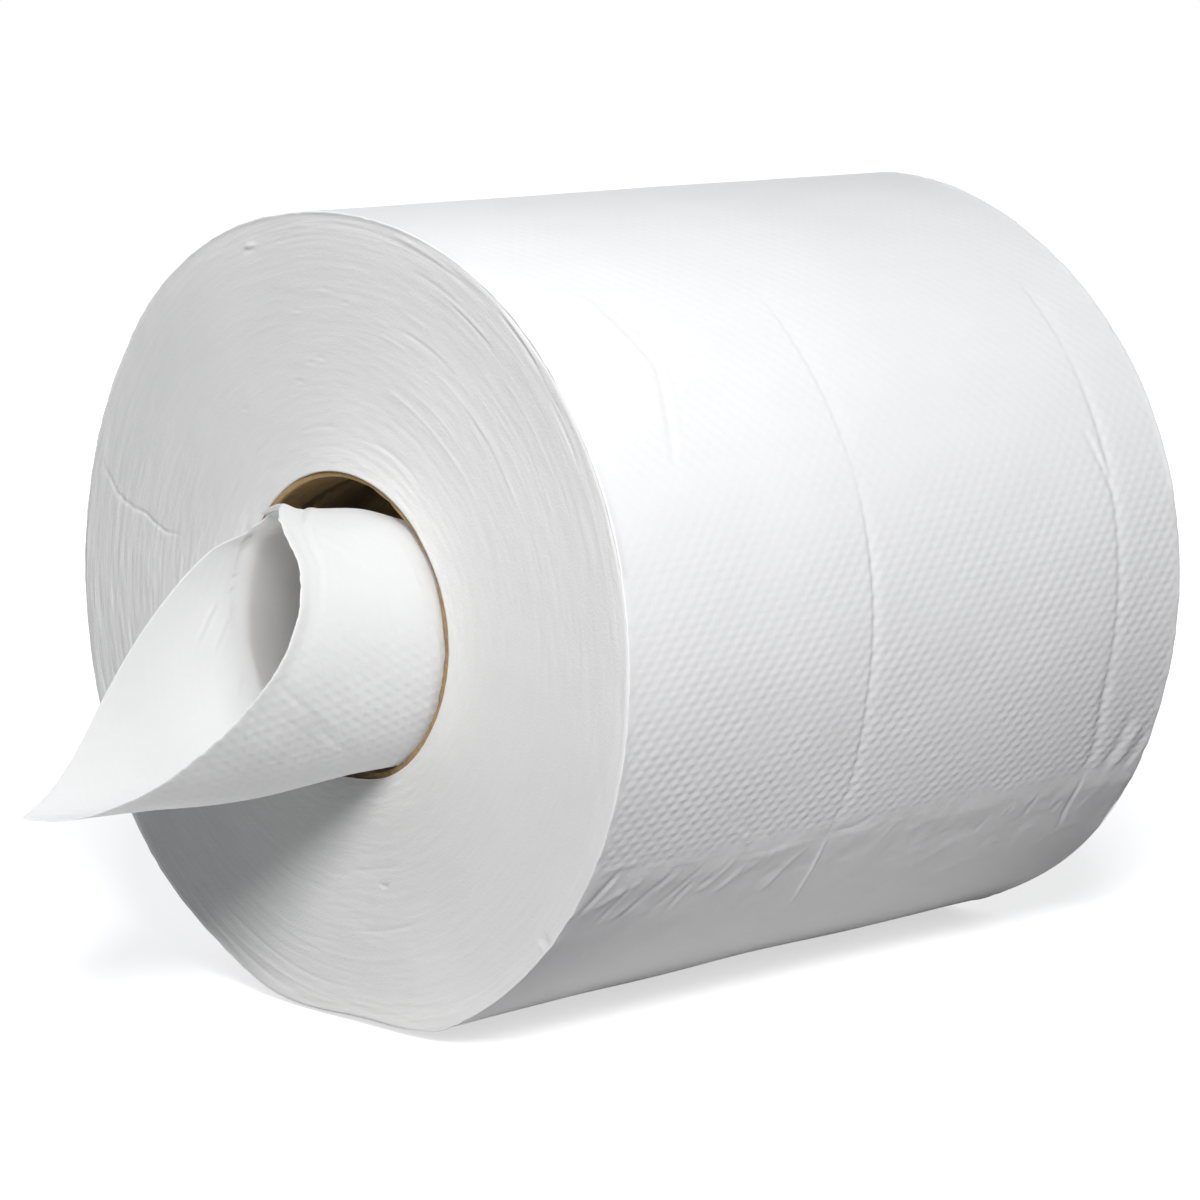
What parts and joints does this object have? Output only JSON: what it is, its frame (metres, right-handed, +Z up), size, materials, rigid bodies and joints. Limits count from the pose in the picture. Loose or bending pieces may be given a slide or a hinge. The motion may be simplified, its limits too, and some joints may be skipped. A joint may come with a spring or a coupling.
{
  "type": "paper towel roll",
  "caption": "White embossed paper towel roll lying on its side, wound on a thin cardboard core, with the leading corner of its web pulled out through the core.",
  "frame": {"origin": "on the floor under the middle of the roll, in the middle of its small flat spot", "axes": "+Y along the roll's axis, from the mouth with the pulled sheet to the other end face; +Z up; +X towards the side where the last turn's seam lies"},
  "size_m": [0.203, 0.2881, 0.2008],
  "materials": {
    "web_paper": "soft matte white, two plies with a fine raised dot embossing",
    "core_board": "unbleached brown board, spiral wound, matte",
    "sheet_paper": "the same white web as a single sheet, thin enough to let light through"
  },
  "bodies": {
    "root": {"paper_roll": "web_paper", "core_tube": "core_board", "centre_sheet": "sheet_paper"}
  },
  "joints": []
}
